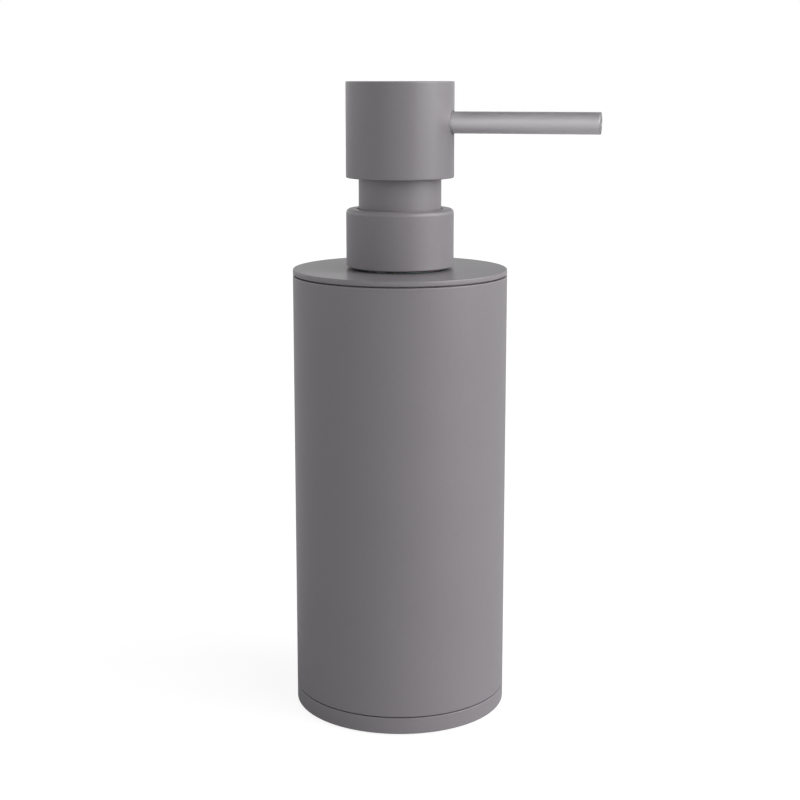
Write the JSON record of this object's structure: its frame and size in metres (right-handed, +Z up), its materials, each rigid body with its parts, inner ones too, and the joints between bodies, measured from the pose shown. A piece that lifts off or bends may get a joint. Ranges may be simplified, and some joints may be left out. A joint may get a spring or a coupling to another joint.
{
  "type": "soap pump dispenser",
  "caption": "Round coated metal soap dispenser with a flat lid, a narrow collar and neck, and a cylindrical press-down pump head with a straight side spout.",
  "frame": {"origin": "middle of the foot pad's underside, on the table and on the pump's axis", "axes": "+Z up along the pump's axis, +X along the spout towards its tip"},
  "size_m": [0.0853, 0.06, 0.1777],
  "materials": {
    "coated_metal": "smooth satin grey powder coat",
    "spout_steel": "satin stainless steel",
    "pad_rubber": "matt black silicone foot pad",
    "seal_rubber": "smooth black seal rubber",
    "bottle_plastic": "blown milky polyethylene",
    "guide_plastic": "moulded dark grey plastic",
    "pump_plastic": "moulded white plastic",
    "tube_plastic": "extruded clear polyethylene tube",
    "piston_plastic": "soft waxy piston plastic",
    "core_plastic": "moulded grey plastic",
    "spring_steel": "bright stainless steel",
    "ball_glass": "polished glass"
  },
  "bodies": {
    "housing": {"foot_pad": "pad_rubber", "base_plate": "coated_metal", "base_o_ring": "seal_rubber", "body_tube": "coated_metal", "lid_plate": "coated_metal", "lid_o_ring": "seal_rubber", "inner_bottle": "bottle_plastic"},
    "pump": {"pump_cylinder": "pump_plastic", "closure_gasket": "seal_rubber", "chaplet": "pump_plastic", "ball_retainer": "pump_plastic", "dip_tube": "tube_plastic", "return_spring": "spring_steel"},
    "closure": {"collar_shell": "coated_metal", "neck_bush": "guide_plastic", "closure_nut": "guide_plastic", "collar_washer": "seal_rubber"},
    "plunger": {"stem": "pump_plastic", "stem_foot": "pump_plastic", "piston": "piston_plastic"},
    "head": {"head_shell": "coated_metal", "neck_sleeve": "coated_metal", "actuator_core": "core_plastic", "spout_tube": "spout_steel", "spout_liner": "core_plastic", "spout_seal": "seal_rubber"},
    "inlet_valve": {"inlet_ball": "ball_glass"},
    "outlet_valve": {"outlet_ball": "spring_steel"}
  },
  "joints": [
    {"name": "pump_lift_off", "type": "slide", "parent": "housing", "child": "pump", "axis": [0, 0, 1], "range_m": [0, 0.135]},
    {"name": "collar_turn", "type": "hinge", "parent": "pump", "child": "closure", "pos_m": [0, 0, 0.135], "axis": [0, 0, 1], "range_deg": [0, 360]},
    {"name": "head_press", "type": "slide", "parent": "pump", "child": "plunger", "axis": [0, 0, -1], "range_m": [0, 0.0075], "stiffness_N_per_m": 800, "springref_m": -0.01, "deforming": ["return_spring"]},
    {"name": "head_turn", "type": "hinge", "parent": "plunger", "child": "head", "pos_m": [0, 0, 0.158], "axis": [0, 0, 1], "continuous": true},
    {"name": "inlet_ball_lift", "type": "slide", "parent": "pump", "child": "inlet_valve", "axis": [0, 0, 1], "range_m": [0, 0.0015]},
    {"name": "outlet_ball_lift", "type": "slide", "parent": "plunger", "child": "outlet_valve", "axis": [0, 0, 1], "range_m": [0, 0.0012]}
  ]
}
